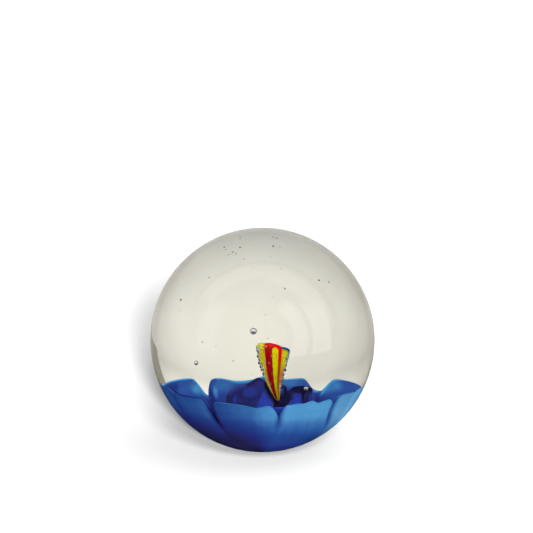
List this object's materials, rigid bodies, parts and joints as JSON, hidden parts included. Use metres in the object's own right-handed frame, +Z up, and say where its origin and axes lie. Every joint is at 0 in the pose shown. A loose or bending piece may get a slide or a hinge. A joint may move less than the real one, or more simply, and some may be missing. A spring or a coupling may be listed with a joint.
{
  "type": "glass marble",
  "caption": "Solid clear glass ball with a blue glass petal cup, a darker inner whorl and a small striped yellow and red cone sealed inside.",
  "frame": {"origin": "centre of the ball", "axes": "+Z up along the petal cup's axis, from the cup's floor towards its open side; -Y is the side the cone's widest red stripe faces"},
  "size_m": [0.035, 0.035, 0.035],
  "materials": {
    "clear_glass": "polished, faintly warm clear glass",
    "blue_glass": "opaque blue glass, light at the petal tips and navy at the base",
    "cobalt_glass": "dense cobalt glass",
    "yellow_glass": "opaque yellow glass with fine air bubbles on its skin",
    "red_glass": "opaque red glass",
    "thread_glass": "opaque blue glass"
  },
  "bodies": {
    "root": {"clear_ball": "clear_glass", "petal_cup": "blue_glass", "inner_whorl": "cobalt_glass", "cone_body": "yellow_glass", "cone_stripes": "red_glass", "cone_thread": "thread_glass"}
  },
  "joints": []
}
